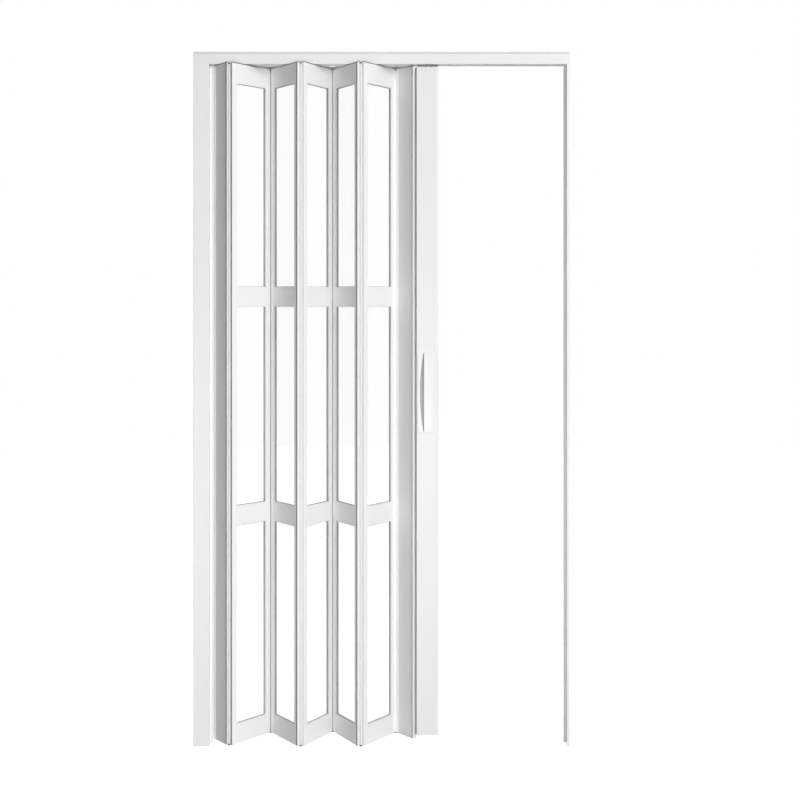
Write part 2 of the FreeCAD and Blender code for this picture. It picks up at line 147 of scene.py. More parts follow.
class Graph:
    """A node tree with one method that adds any node."""

    def __init__(self, tree: bpy.types.NodeTree) -> None:
        """Take an empty tree."""
        self.tree = tree

    def add(self, kind: str, settings: dict[str, Any], inputs: dict[Any, Any], output: Any = 0) -> Wire:
        """Add a node, set it and join its inputs.

        Args:
            kind: The node's type.
            settings: The node's own settings, which are set first.
            inputs: Values or wires, or lists of wires, by the socket's name or number.
            output: The name or number of the output that is wanted.

        Returns:
            That output, or the first input of a node that has none.
        """
        node = self.tree.nodes.new(kind)
        for name, value in settings.items():
            setattr(node, name, value)
        for key, value in inputs.items():
            for part in value if isinstance(value, list) else [value]:
                if isinstance(part, Wire):
                    self.tree.links.new(part.socket, node.inputs[key])
                else:
                    node.inputs[key].default_value = part
        return Wire(self, node.outputs[output]) if len(node.outputs) else Wire(self, node.inputs[0])

    def mix(self, factor: Any, first: Any, second: Any) -> Wire:
        """Mix two colours, where the factor is the share of the second."""
        # Sockets 6 and 7 are the two colours, and output 2 is their mix.
        return self.add("ShaderNodeMix", {"data_type": "RGBA"}, {0: factor, 6: first, 7: second}, 2)

    def parts(self, vector: Wire) -> tuple[Wire, ...]:
        """Return a vector's values along X, Y and Z."""
        split = self.add("ShaderNodeSeparateXYZ", {}, {"Vector": vector})
        return tuple(Wire(self, output) for output in split.socket.node.outputs)


class Paint(Graph):
    """A material's graph, with the textures that finishes share."""

    layer_strength: float = 0.55

    def __init__(self, name: str) -> None:
        """Start a material with an empty graph.

        Args:
            name: The material's name.
        """
        self.material = bpy.data.materials.new(name)
        self.material.use_nodes = True
        super().__init__(self.material.node_tree)
        self.tree.nodes.clear()
        self.place = self.add("ShaderNodeTexCoord", {}, {}, "Object")

    def stretched(self, scale: tuple[float, float, float]) -> Wire:
        """Return the place on the piece, scaled along each axis."""
        return self.add("ShaderNodeMapping", {}, {"Vector": self.place, "Scale": scale})

    def noise(
        self, size: float, scale: tuple[float, float, float] = (1.0, 1.0, 1.0), detail: float = 2.0
    ) -> Wire:
        """Add a noise texture.

        Args:
            size: The length of its features in metres.
            scale: How far the place is scaled along each axis first.
            detail: How many finer layers it has.

        Returns:
            Its value, from 0 to 1.
        """
        inputs = {
            "Vector": self.stretched(scale),
            "Scale": 1.0 / size,
            "Detail": detail,
            "Roughness": self.layer_strength,
        }
        return self.add("ShaderNodeTexNoise", {}, inputs)

    def bump(self, height: Wire, strength: float, distance: float, under: Wire | None = None) -> Wire:
        """Add a bump.

        Args:
            height: What the surface's height follows.
            strength: The bump's strength.
            distance: The height of a full step in metres.
            under: A bump that this one lies on.

        Returns:
            The bumped normal.
        """
        inputs: dict[str, Any] = {"Height": height, "Strength": strength, "Distance": distance}
        if under is not None:
            inputs["Normal"] = under
        return self.add("ShaderNodeBump", {}, inputs)

    def finish(self, inputs: dict[str, Any]) -> bpy.types.Material:
        """Join a Principled shader to the output.

        Args:
            inputs: The shader's inputs by name.

        Returns:
            The finished material.
        """
        shader = self.add("ShaderNodeBsdfPrincipled", {}, inputs)
        self.add("ShaderNodeOutputMaterial", {}, {"Surface": shader})
        return self.material


def grey(level: float, warmth: float = 0.0) -> tuple[float, float, float, float]:
    """Return a linear grey with a slight warmth."""
    return (level * (1.0 + warmth), level, level * (1.0 - warmth), 1.0)


@dataclass(frozen=True)
class PowderCoat:
    """A satin powder coat over drawn aluminium."""

    name: str
    level: float
    drawn: Drawn
    roughness: float = 0.42
    mottle: float = 0.012
    cloud_size: float = 90 * MM
    cloud_share: float = 0.7
    cloud_sheen: float = 0.08
    line_size: float = 2.2 * MM
    line_strength: float = 0.05
    peel_size: float = 1.6 * MM
    peel_height: float = 0.02 * MM
    peel_sheen: float = 0.06
    peel_strength: float = 0.18
    specular: float = 0.45

    def material(self) -> bpy.types.Material:
        """Build the coat: cloudy tone, faint drawing lines and the fine peel of baked powder.

        Returns:
            The material.
        """
        paint = Paint(self.name)
        clouds = paint.noise(self.cloud_size, detail=3.0)
        lines = paint.noise(self.line_size, self.drawn.value, detail=1.0)
        peel = paint.noise(self.peel_size, detail=1.0)
        pattern = clouds * self.cloud_share + lines * (1.0 - self.cloud_share)
        base = self.roughness - (self.cloud_sheen + self.peel_sheen) / 2
        dark, pale = grey(self.level - self.mottle), grey(self.level + self.mottle)
        line_bump = paint.bump(lines, self.line_strength, self.peel_height)
        return paint.finish(
            {
                "Base Color": paint.mix(pattern, dark, pale),
                "Roughness": clouds * self.cloud_sheen + peel * self.peel_sheen + base,
                "Normal": paint.bump(peel, self.peel_strength, self.peel_height, line_bump),
                "Specular IOR Level": self.specular,
            }
        )


@dataclass(frozen=True)
class ClearGlass:
    """Clear float glass, seen as a faint tint with its gloss."""

    name: str
    body: float = 0.012
    body_spread: float = 0.01
    gloss: float = 0.3
    glance: float = 4.0
    wave_size: float = 160 * MM
    roughness: float = 0.01
    roughness_spread: float = 0.015
    specular: float = 0.6
    deep_tint: tuple[float, float, float, float] = (0.94, 0.97, 0.96, 1.0)
    pale_tint: tuple[float, float, float, float] = (0.97, 0.99, 0.98, 1.0)

    def material(self) -> bpy.types.Material:
        """Build the glass: nearly clear face on, and glossier at a glance.

        Returns:
            The material.
        """
        paint = Paint(self.name)
        waves = paint.noise(self.wave_size, detail=2.0)
        edge = paint.add("ShaderNodeLayerWeight", {}, {"Blend": 0.5}, "Facing") ** self.glance
        return paint.finish(
            {
                "Base Color": paint.mix(waves, self.deep_tint, self.pale_tint),
                "Roughness": waves * self.roughness_spread + self.roughness,
                "Alpha": edge * self.gloss + (waves * self.body_spread + self.body),
                "Specular IOR Level": self.specular,
            }
        )


@dataclass(frozen=True)
class Moulding:
    """A moulded or extruded plastic or rubber."""

    name: str
    level: float
    roughness: float
    grain_size: float = 0.7 * MM
    grain_height: float = 0.02 * MM
    warmth: float = 0.0
    grain_strength: float = 0.25
    flow_size: float = 35 * MM
    flow_stretch: tuple[float, float, float] = (1.0, 1.0, 0.4)
    flow_sheen: float = 0.1
    dark: float = 0.975
    pale: float = 1.02

    def tone(self, paint: Paint, flow: Wire) -> Wire:
        """Return the plastic's colour, which follows its flow marks."""
        dark, pale = (grey(self.level * share, self.warmth) for share in (self.dark, self.pale))
        return paint.mix(flow, dark, pale)

    def material(self) -> bpy.types.Material:
        """Build the plastic: slight flow marks and a fine spark-eroded grain.

        Returns:
            The material.
        """
        paint = Paint(self.name)
        flow = paint.noise(self.flow_size, self.flow_stretch, detail=2.0)
        grain = paint.noise(self.grain_size, detail=1.0)
        return paint.finish(
            {
                "Base Color": self.tone(paint, flow),
                "Roughness": flow * self.flow_sheen + (self.roughness - self.flow_sheen / 2),
                "Normal": paint.bump(grain, self.grain_strength, self.grain_height),
            }
        )


@dataclass(frozen=True)
class PocketShadedMoulding(Moulding):
    """A moulding with painted shade: darker where it lies deeper than its face, for the shade in its pocket.
    """

    # Painted shade: the grey of the pocket, the depth from the middle where it ends, and how softly it ends.
    pocket_shade: float = 0.36
    pocket_shade_face: float = 13.4 * MM
    pocket_shade_fade: float = 0.4 * MM

    def tone(self, paint: Paint, flow: Wire) -> Wire:
        """Mix the plastic's colour outside with painted shade, a darker grey, inside the pocket.

        Args:
            paint: The material's graph.
            flow: The plastic's flow marks.

        Returns:
            The colour.
        """
        # Painted shade: what lies less deep than the face is darkened, standing in for the shade in the grip
        # pocket.
        depth = paint.parts(paint.place)[1].absolute()
        inside = 1.0 - depth.ramp(self.pocket_shade_face - self.pocket_shade_fade, self.pocket_shade_face)
        return paint.mix(inside, super().tone(paint, flow), grey(self.pocket_shade))


@dataclass(frozen=True)
class Plating:
    """Zinc or bright steel with the marks of its making."""

    name: str
    level: float
    roughness: float
    spangle_size: float = 3.5 * MM
    spangle_sheen: float = 0.14
    scratch_size: float = 0.5 * MM
    scratch_sheen: float = 0.08
    scratch_strength: float = 0.12
    scratch_height: float = 0.02 * MM
    polish: float = 0.1
    dark: float = 0.9
    pale: float = 1.06
    warmth: float = 0.01

    def material(self) -> bpy.types.Material:
        """Build the metal: spangled tone and fine scratches.

        Returns:
            The material.
        """
        paint = Paint(self.name)
        spangle = paint.noise(self.spangle_size, detail=2.0)
        scratches = paint.noise(self.scratch_size, detail=1.0)
        dull, bright = grey(self.level * self.dark, self.warmth), grey(self.level * self.pale, -self.warmth)
        sheen = spangle * self.spangle_sheen + scratches * self.scratch_sheen
        return paint.finish(
            {
                "Base Color": paint.mix(spangle, dull, bright),
                "Metallic": 1.0,
                "Roughness": sheen + (self.roughness - self.polish),
                "Normal": paint.bump(scratches, self.scratch_strength, self.scratch_height),
            }
        )


@dataclass(frozen=True)
class StageWhite:
    """The studio's white, which is bright of itself so that it stays pale behind the door."""

    name: str
    level: float
    glow: float
    roughness: float = 0.9
    cloud_size: float = 1.4
    dark: float = 0.99

    def material(self) -> bpy.types.Material:
        """Build the white with a slight unevenness.

        Returns:
            The material.
        """
        paint = Paint(self.name)
        clouds = paint.noise(self.cloud_size, detail=2.0)
        return paint.finish(
            {
                "Base Color": paint.mix(clouds, grey(self.level * self.dark), grey(self.level)),
                "Roughness": self.roughness,
                "Specular IOR Level": 0.0,
                "Emission Color": grey(1.0),
                "Emission Strength": self.glow,
            }
        )


Finish = PowderCoat | ClearGlass | Moulding | Plating | StageWhite


@dataclass
class Workshop:
    """The finishes of the door, each made once."""

    made: dict[str, bpy.types.Material] = field(default_factory=dict)

    def finish(self, recipe: Finish) -> bpy.types.Material:
        """Return a recipe's material, making it the first time.

        Args:
            recipe: The finish.

        Returns:
            Its material.
        """
        if recipe.name not in self.made:
            self.made[recipe.name] = recipe.material()
        return self.made[recipe.name]


TRACK_COAT = PowderCoat("track_coat", 0.84, Drawn.ACROSS)
JAMB_COAT = PowderCoat("jamb_coat", 0.855, Drawn.UPRIGHT)
RAIL_COAT = PowderCoat("rail_coat", 0.86, Drawn.ALL_ROUND)
STILE_COAT = PowderCoat("stile_coat", 0.86, Drawn.UPRIGHT)
SLAT_COAT = PowderCoat("slat_coat", 0.81, Drawn.UPRIGHT)
LEAD_COAT = PowderCoat("lead_coat", 0.81, Drawn.UPRIGHT)
PANE_GLASS = ClearGlass("pane_glass")
HINGE_VINYL = Moulding("hinge_vinyl", 0.9, 0.5)
# The handle's grip pocket is darkened by painted shade.
HANDLE_PLASTIC = PocketShadedMoulding("handle_plastic", 0.79, 0.34, 0.9 * MM, 0.012 * MM)
CAP_PLASTIC = Moulding("cap_plastic", 0.78, 0.55)
GASKET_VINYL = Moulding("gasket_vinyl", 0.5, 0.6)
# Dark grey for seals that paint shade: by the leaves' front edges, in the first fold's gap and by the lead
# post.
DARK_SHADE_VINYL = Moulding("dark_shade_vinyl", 0.2, 0.6)
# Dark and grey piles that paint the shade under and behind the head track.
SHADE_PILE = Moulding("shade_pile", 0.2, 0.9)
REAR_SHADE_PILE = Moulding("rear_shade_pile", 0.45, 0.9)
# Dark grey for the sleeves and collars that paint shade in the folds that go back.
SHADE_SLEEVE_VINYL = Moulding("shade_sleeve_vinyl", 0.3, 0.6)
# Grey for lines that paint shade: below the track's top edge and by the closing slat's front end.
PALE_SHADE_VINYL = Moulding("pale_shade_vinyl", 0.6, 0.6)
# Dark rubber for the hinge strips' end plugs, and for the caps that paint shade above the folds.
PLUG_AND_SHADE_RUBBER = Moulding("plug_and_shade_rubber", 0.14, 0.7)
BUMPER_VINYL = Moulding("bumper_vinyl", 0.55, 0.65)
WHEEL_NYLON = Moulding("wheel_nylon", 0.8, 0.4, 0.4 * MM, 0.01 * MM, 0.01)
HANGER_ZINC = Plating("hanger_zinc", 0.62, 0.4)
SCREW_STEEL = Plating("screw_steel", 0.7, 0.3)
FLOOR_WHITE = StageWhite("floor_white", 0.55, 0.72)
DOME_WHITE = StageWhite("dome_white", 0.0, 1.0)


@dataclass
class Dressing:
    """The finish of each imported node."""

    workshop: Workshop
    nodes: dict[str, bpy.types.Object]

    def recipe(self, node: str) -> Finish:
        """Find the finish that suits a node.

        Args:
            node: The node's name.

        Returns:
            Its finish, which is the hinge strips' when nothing else fits.
        """
        endings = {
            "_glass": PANE_GLASS,
            "_stiles": STILE_COAT,
            "_rails": RAIL_COAT,
            "_slat": SLAT_COAT,
            "_handle": HANDLE_PLASTIC,
            "_cap": CAP_PLASTIC,
            "_wheels": WHEEL_NYLON,
            "_hangers": HANGER_ZINC,
            "_carriage": HANGER_ZINC,
            "_jamb": JAMB_COAT,
        }
        names = {
            "top_track": TRACK_COAT,
            "left_receiver": JAMB_COAT,
            "lead_post": LEAD_COAT,
            "lead_receiver": LEAD_COAT,
        }
        if node in names:
            return names[node]
        for ending, recipe in endings.items():
            if node.endswith(ending):
                return recipe
        return HINGE_VINYL

    def dress(self) -> None:
        """Put each node's finish on its own material slots."""
        for name, node in self.nodes.items():
            material = self.workshop.finish(self.recipe(name))
            if not node.material_slots:
                node.data.materials.append(material)
            for slot in node.material_slots:
                slot.material = material
        LOG.info("dressed %d nodes", len(self.nodes))


class Shaper(Graph):
    """A Geometry Nodes tree with named inputs, run once on a holder mesh."""

    def __init__(self, name: str, sizes: dict[str, Any]) -> None:
        """Start a tree.

        Args:
            name: The tree's name.
            sizes: The named inputs and their values.
        """
        super().__init__(bpy.data.node_groups.new(name, "GeometryNodeTree"))
        self.sizes = sizes
        self.tree.interface.new_socket(name="Geometry", in_out="INPUT", socket_type="NodeSocketGeometry")
        for label, value in sizes.items():
            self.tree.interface.new_socket(name=label, in_out="INPUT", socket_type=self.socket_type(value))
        self.tree.interface.new_socket(name="Geometry", in_out="OUTPUT", socket_type="NodeSocketGeometry")
        self.source = self.tree.nodes.new("NodeGroupInput")

    @staticmethod
    def socket_type(value: Any) -> str:
        """Find the kind of socket that holds a value.

        Args:
            value: The value.

        Returns:
            The socket's type.
        """
        if isinstance(value, bpy.types.Material):
            return "NodeSocketMaterial"
        return "NodeSocketInt" if isinstance(value, int) else "NodeSocketFloat"

    def size(self, label: str) -> Wire:
        """Return a named input."""
        return Wire(self, self.source.outputs[label])

    def vector(self, x: Any, y: Any, z: Any) -> Wire:
        """Return a vector made of three values."""
        return self.add("ShaderNodeCombineXYZ", {}, {0: x, 1: y, 2: z})

    def random(self, low: float, high: float) -> Wire:
        """Return a number between two values, drawn for each point from the input Seed."""
        # Sockets 2 and 3 are a decimal number's limits, and output 1 is that number.
        inputs = {2: low, 3: high, "Seed": self.size("Seed")}
        return self.add("FunctionNodeRandomValue", {"data_type": "FLOAT"}, inputs, 1)

    def run(self, shape: Wire, holder: bpy.types.Object) -> bpy.types.Object:
        """End the tree, run it on the holder and keep the result as the holder's plain mesh.

        Args:
            shape: The geometry that the tree makes.
            holder: The object whose mesh the tree reads.

        Returns:
            The holder, with the finished mesh and no modifier.
        """
        solid = self.add("GeometryNodeRealizeInstances", {}, {"Geometry": shape})
        coat = self.size("Finish")
        dressed = self.add("GeometryNodeSetMaterial", {}, {"Geometry": solid, "Material": coat})
        self.add("NodeGroupOutput", {}, {"Geometry": dressed})
        modifier = holder.modifiers.new("shape", "NODES")
        modifier.node_group = self.tree
        for item in self.tree.interface.items_tree:
            if item.in_out == "INPUT" and item.name in self.sizes:
                modifier[item.identifier] = self.sizes[item.name]
        graph = bpy.context.evaluated_depsgraph_get()
        mesh = bpy.data.meshes.new_from_object(holder.evaluated_get(graph), depsgraph=graph)
        holder.modifiers.remove(modifier)
        mesh.name = holder.name
        holder.data = mesh
        return holder


def new_object(name: str, vertices: list[Vector], edges: list[tuple[int, int]]) -> bpy.types.Object:
    """Link an object made of points and edges.

    Args:
        name: The object's name.
        vertices: The points in the door's frame.
        edges: Pairs of point numbers.

    Returns:
        The new object.
    """
    mesh = bpy.data.meshes.new(name)
    mesh.from_pydata([tuple(point) for point in vertices], edges, [])
    made = bpy.data.objects.new(name, mesh)
    bpy.context.scene.collection.objects.link(made)
    return made


def keep(piece: bpy.types.Object) -> bpy.types.Object:
    """Let a finished piece ride on the door, and report it.

    Args:
        piece: The piece.

    Returns:
        The same piece.
    """
    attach(piece, BODY)
    LOG.info("piece %s: %d faces", piece.name, len(piece.data.polygons))
    return piece


@dataclass
class LeafPlan:
    """Where a leaf stands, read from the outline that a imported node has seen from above."""

    node: bpy.types.Object
    digits: int = 5

    def __post_init__(self) -> None:
        """Find the leaf's middle, its directions and its half sizes."""
        corners = [vertex.co for vertex in self.node.data.vertices]
        flat = {(round(corner.x, self.digits), round(corner.y, self.digits)) for corner in corners}
        points = [Vector((x, y, 0.0)) for x, y in flat]
        mean = sum(points, Vector()) / len(points)
        spread = [(point.x - mean.x, point.y - mean.y) for point in points]
        skew = 2.0 * sum(x * y for x, y in spread)
        angle = 0.5 * math.atan2(skew, sum(x * x - y * y for x, y in spread))
        self.along = Vector((math.cos(angle), math.sin(angle), 0.0))
        self.across = Vector((-self.along.y, self.along.x, 0.0))
        lengths = [(point - mean).dot(self.along) for point in points]
        depths = [(point - mean).dot(self.across) for point in points]
        self.half_length = (max(lengths) - min(lengths)) / 2
        self.half_depth = (max(depths) - min(depths)) / 2
        self.middle = mean + self.along * (max(lengths) + min(lengths)) / 2
        self.middle += self.across * (max(depths) + min(depths)) / 2

    def point(self, along: float, across: float, level: float) -> Vector:
        """Return a point of the leaf, measured from its middle."""
        return self.middle + self.along * along + self.across * across + Vector((0.0, 0.0, level))

    def crossing(self, depth: float = 0.0) -> float:
        """Return how far along the leaf it passes a depth behind the middle of the track."""
        return (depth - self.middle.y) / self.along.y

    def near(self) -> float:
        """Return 1 when the leaf's end towards the room is the one that it runs to, else -1."""
        return -math.copysign(1.0, self.along.y)

    def heights(self) -> list[float]:
        """Return every level at which the node has corners, from the lowest up."""
        return sorted({round(vertex.co.z, self.digits) for vertex in self.node.data.vertices})


@dataclass
class GlazingBeads:
    """The soft beads that hold the panes, a ring on each face of each opening."""

    workshop: Workshop
    width: float = 1.9 * MM
    crest: float = 1.1 * MM
    height: float = 1.2 * MM
    softness: float = 0.25 * MM
    steps: int = 2
    bite: float = 6.6 * MM

    def build(self, number: int, plan: LeafPlan) -> bpy.types.Object:
        """Make the rings of one leaf.

        Args:
            number: The leaf's number, counted from the left jamb.
            plan: The outline of the leaf's panes.

        Returns:
            The finished piece.
        """
        holder = self.rings("panel_%d_beads" % number, plan)
        sizes = {
            "Width": self.width * math.sqrt(2.0),
            "Crest": self.crest * math.sqrt(2.0),
            "Height": self.height,
            "Softness": self.softness,
            "Finish": self.workshop.finish(GASKET_VINYL),
        }
        shaper = Shaper("bead_section", sizes)
        path = shaper.add("GeometryNodeMeshToCurve", {}, {"Mesh": shaper.size("Geometry")})
        section = shaper.add(
            "GeometryNodeCurvePrimitiveQuadrilateral",
            {"mode": "TRAPEZOID"},
            {
                "Height": shaper.size("Height"),
                "Bottom Width": shaper.size("Width"),
                "Top Width": shaper.size("Crest"),
                "Offset": 0.0,
            },
        )
        soft = shaper.add(
            "GeometryNodeFilletCurve",
            {"mode": "POLY"},
            {"Curve": section, "Count": self.steps, "Radius": shaper.size("Softness")},
        )
        ring = shaper.add("GeometryNodeCurveToMesh", {}, {"Curve": path, "Profile Curve": soft})
        return keep(shaper.run(ring, holder))

    def rings(self, name: str, plan: LeafPlan) -> bpy.types.Object:
        """Lay out the middle line of each ring.

        Args:
            name: The name of the object.
            plan: The outline of the leaf's panes.

        Returns:
            An object of closed rings of edges.
        """
        inset = self.bite + self.width / 2
        reach = plan.half_length - inset
        lift = plan.half_depth + self.height / 2
        levels = plan.heights()
        vertices: list[Vector] = []
        edges: list[tuple[int, int]] = []
        for low, high in zip(levels[::2], levels[1::2]):
            bottom, top = low + inset, high - inset
            for side in Side:
                base = len(vertices)
                for along, level in ((-reach, bottom), (reach, bottom), (reach, top), (-reach, top)):
                    vertices.append(plan.point(along, lift * side.value, level))
                edges += [(base + index, base + (index + 1) % 4) for index in range(4)]
        return new_object(name, vertices, edges)


@dataclass
class RoundSeal:
    """A round soft bar between two ends, such as a seal in its groove or a sleeve."""

    workshop: Workshop
    radius: float
    recipe: Moulding
    sides: int = 20

    def build(self, name: str, ends: tuple[Vector, Vector], slot: str = "hinge_strip") -> bpy.types.Object:
        """Draw the bar from one end to the other.

        Args:
            name: The piece's name.
            ends: The middle of each end.
            slot: Not used.

        Returns:
            The finished piece.
        """
        holder = new_object(name, list(ends), [(0, 1)])
        shaper = Shaper("round_seal", {"Radius": self.radius, "Finish": self.workshop.finish(self.recipe)})
        path = shaper.add("GeometryNodeMeshToCurve", {}, {"Mesh": shaper.size("Geometry")})
        sizes = {"Resolution": self.sides, "Radius": shaper.size("Radius")}
        section = shaper.add("GeometryNodeCurvePrimitiveCircle", {}, sizes)
        parts = {"Curve": path, "Profile Curve": section, "Fill Caps": True}
        tube = shaper.add("GeometryNodeCurveToMesh", {}, parts)
        return keep(shaper.run(tube, holder))


@dataclass(frozen=True)
class EndSeal:
    """A round seal along a leaf's front end, and how it lies there."""

    name: str
    beyond: float
    sink: float
    radius: float
    recipe: Moulding


# Painted shade: a paler grey seal by the closing slat's front end.
CLOSING_EDGE_SHADE_SEAL = EndSeal("closing_edge_seal", -5.0 * MM, 2.2 * MM, 3.4 * MM, PALE_SHADE_VINYL)
CLOSING_NOSE_SEAL = EndSeal("closing_nose_seal", 2.2 * MM, 1.2 * MM, 3.1 * MM, HINGE_VINYL)
# Painted shade: a dark seal in the gap between the starter slat and the first leaf.
FIRST_NOSE_SHADE_SEAL = EndSeal("panel_1_nose_seal", 0.6 * MM, 2.2 * MM, 1.6 * MM, DARK_SHADE_VINYL)


@dataclass
class LeafSeals:
    """The dark seals that paint shade by a leaf's front edge, and the dark piles that paint the shade above
    its top.
    """

    workshop: Workshop
    # Size and place of the dark seal that paints shade by a leaf's front edge.
    shade_seal_radius: float = 3.4 * MM
    shade_seal_sink: float = 2.2 * MM
    shade_seal_inset: float = 3.5 * MM
    seal_margin: float = 1.0 * MM
    # Heights of the dark piles that paint the shade above the leaves.
    low_brush: float = 3.1 * MM
    tall_brush: float = 9.0 * MM
    lead_brush: float = 6.4 * MM
    track_back: float = 21.0 * MM
    low_clearance: float = 1.0 * MM
    tall_clearance: float = 1.5 * MM
    brush_depth: float = 3.4 * MM
    brush_pitch: float = 1.1 * MM
    brush_share: float = 0.7
    brush_lean: float = 0.06
    brush_margin: float = 2.5 * MM
    brush_overhang: float = 5.0 * MM
    stem_gap: float = 4.2 * MM
    lead_gap: float = 5.6 * MM
    seed: int = 11

    def edge(self, name: str, plan: LeafPlan) -> None:
        """Lay a dark round seal beside the front edge, on the face that looks into the room, as painted
        shade by the nose.
        """
        self.upright(EndSeal(name, -self.shade_seal_inset, self.shade_seal_sink, self.shade_seal_radius, DARK_SHADE_VINYL), plan)

    def upright(self, seal: EndSeal, plan: LeafPlan) -> None:
        """Lay a round seal along the leaf's front end.

        Args:
            seal: The seal, with how far past the leaf's end and behind its room face its middle lies.
            plan: The leaf's outline.
        """
        along = plan.near() * (plan.half_length + seal.beyond)
        across = seal.sink - plan.half_depth
        levels = plan.heights()
        low = plan.point(along, across, levels[0] + self.seal_margin)
        high = plan.point(along, across, levels[-1] - self.seal_margin)
        RoundSeal(self.workshop, seal.radius, seal.recipe).build(seal.name, (low, high))

    def brushes(self, name: str, plan: LeafPlan, hung: bool) -> None:
        """Plant a low dark pile under the track and a tall grey one behind it, which paint the shade under
        the track.

        Args:
            name: How the pieces' names begin.
            plan: The leaf's outline.
            hung: Whether the leaf has a hanger, whose stem needs a gap.
        """
        front = plan.near() * (plan.half_length - self.brush_margin)
        behind = -front
        limit = plan.crossing(self.track_back - self.low_clearance)
        stem = plan.crossing()
        gap = plan.near() * self.stem_gap
        if plan.point(behind, 0.0, 0.0).y < self.track_back:
            limit = behind
        low = [(front, stem + gap), (stem - gap, limit)] if hung else [(front, limit)]
        # Painted shade: the dark pile stands in for the shaded underside of the track.
        self.pile(name + "_brush", plan, low, self.low_brush, SHADE_PILE)
        if limit != behind:
            overhang = behind - plan.near() * (self.brush_margin + self.brush_overhang)
            tall = [(plan.crossing(self.track_back + self.tall_clearance), overhang)]
            self.pile(name + "_rear_brush", plan, tall, self.tall_brush, REAR_SHADE_PILE)

    def pile(
        self, name: str, plan: LeafPlan, runs: list[tuple[float, float]], height: float, recipe: Moulding
    ) -> bpy.types.Object:
        """Plant tufts along runs on a leaf's top.

        Args:
            name: The piece's name.
            plan: The leaf's outline.
            runs: Where each run starts and ends along the leaf.
            height: How tall the tufts are.
            recipe: The pile's finish.

        Returns:
            The finished piece.
        """
        level = plan.heights()[-1] + height / 2
        points = [plan.point(along, 0.0, level) for run in runs for along in run]
        holder = new_object(name, points, [(2 * index, 2 * index + 1) for index in range(len(runs))])
        sizes = {
            "Pitch": self.brush_pitch,
            "Width": self.brush_pitch * self.brush_share,
            "Depth": self.brush_depth,
            "Height": height,
            "Turn": math.atan2(plan.along.y, plan.along.x),
            "Seed": self.seed,
            "Finish": self.workshop.finish(recipe),
        }
        shaper = Shaper("brush", sizes)
        path = shaper.add("GeometryNodeMeshToCurve", {}, {"Mesh": shaper.size("Geometry")})
        places = shaper.add(
            "GeometryNodeCurveToPoints", {"mode": "LENGTH"}, {"Curve": path, "Length": shaper.size("Pitch")}
        )
        tuft = shaper.add(
            "GeometryNodeMeshCube",
            {},
            {"Size": shaper.vector(shaper.size("Width"), shaper.size("Depth"), shaper.size("Height"))},
        )
        lean = shaper.random(-self.brush_lean, self.brush_lean)
        tufts = shaper.add(
            "GeometryNodeInstanceOnPoints",
            {},
            {"Points": places, "Instance": tuft, "Rotation": shaper.vector(0.0, lean, shaper.size("Turn"))},
        )
        return keep(shaper.run(tufts, holder))


@dataclass
class Screws:
    """A set of pan-headed screws, whose recess and crown are shares of the head's radius and height."""

    name: str
    workshop: Workshop
    radius: float
    height: float
    recess: Recess = Recess.CROSS
    recess_width: float = 0.24
    recess_length: float = 1.25
    recess_floor: float = 0.4
    crown: float = 0.72
    sides: int = 24
    seed: int = 7

    def build(self, seats: list[tuple[Vector, Vector]], slot: str) -> bpy.types.Object:
        """Make the heads.

        Args:
            seats: The middle of each head's underside and the direction that it faces.
            slot: Not used.

        Returns:
            The finished piece.
        """
        holder = new_object(self.name, [seat for seat, _ in seats], [])
        facing = holder.data.attributes.new("facing", "FLOAT_VECTOR", "POINT")
        for item, (_, direction) in zip(facing.data, seats):
            item.vector = direction
        sizes = {
            "Radius": self.radius,
            "Height": self.height,
            "Recess Width": self.radius * self.recess_width,
            "Recess Length": self.radius * self.recess_length,
            "Seed": self.seed,
            "Finish": self.workshop.finish(SCREW_STEEL),
        }
        shaper = Shaper("screw_head", sizes)
        head = self.head(shaper)
        kind = {"data_type": "FLOAT_VECTOR"}
        faced = shaper.add("GeometryNodeInputNamedAttribute", kind, {"Name": "facing"})
        aim = shaper.add("FunctionNodeAlignRotationToVector", {"axis": "Z"}, {"Vector": faced})
        turn = shaper.random(0.0, math.pi)
        spin = shaper.add("FunctionNodeAxisAngleToRotation", {}, {"Angle": turn})
        placed = shaper.add(
            "FunctionNodeRotateRotation", {"rotation_space": "LOCAL"}, {"Rotation": aim, "Rotate By": spin}
        )
        heads = shaper.add(
            "GeometryNodeInstanceOnPoints",
            {},
            {"Points": shaper.size("Geometry"), "Instance": head, "Rotation": placed},
        )
        return keep(shaper.run(heads, holder))

    def head(self, shaper: Shaper) -> Wire:
        """Draw one head standing on the origin, with its recess.

        Args:
            shaper: The tree that the head is drawn in.

        Returns:
            The head's geometry.
        """
        cone = shaper.add(
            "GeometryNodeMeshCone",
            {"fill_type": "NGON"},
            {
                "Vertices": self.sides,
                "Radius Top": shaper.size("Radius") * self.crown,
                "Radius Bottom": shaper.size("Radius"),
                "Depth": shaper.size("Height"),
            },
        )
        bars = []
        for index in range(self.recess.value):
            long, thin = shaper.size("Recess Length"), shaper.size("Recess Width")
            size = shaper.vector(thin, long, long) if index else shaper.vector(long, thin, long)
            bar = shaper.add("GeometryNodeMeshCube", {}, {"Size": size})
            lift = shaper.vector(0.0, 0.0, shaper.size("Height") * self.recess_floor + long * 0.5)
            bars.append(shaper.add("GeometryNodeTransform", {}, {"Geometry": bar, "Translation": lift}))
        return shaper.add(
            "GeometryNodeMeshBoolean",
            {"operation": "DIFFERENCE", "solver": "EXACT"},
            {"Mesh 1": cone, "Mesh 2": bars},
        )


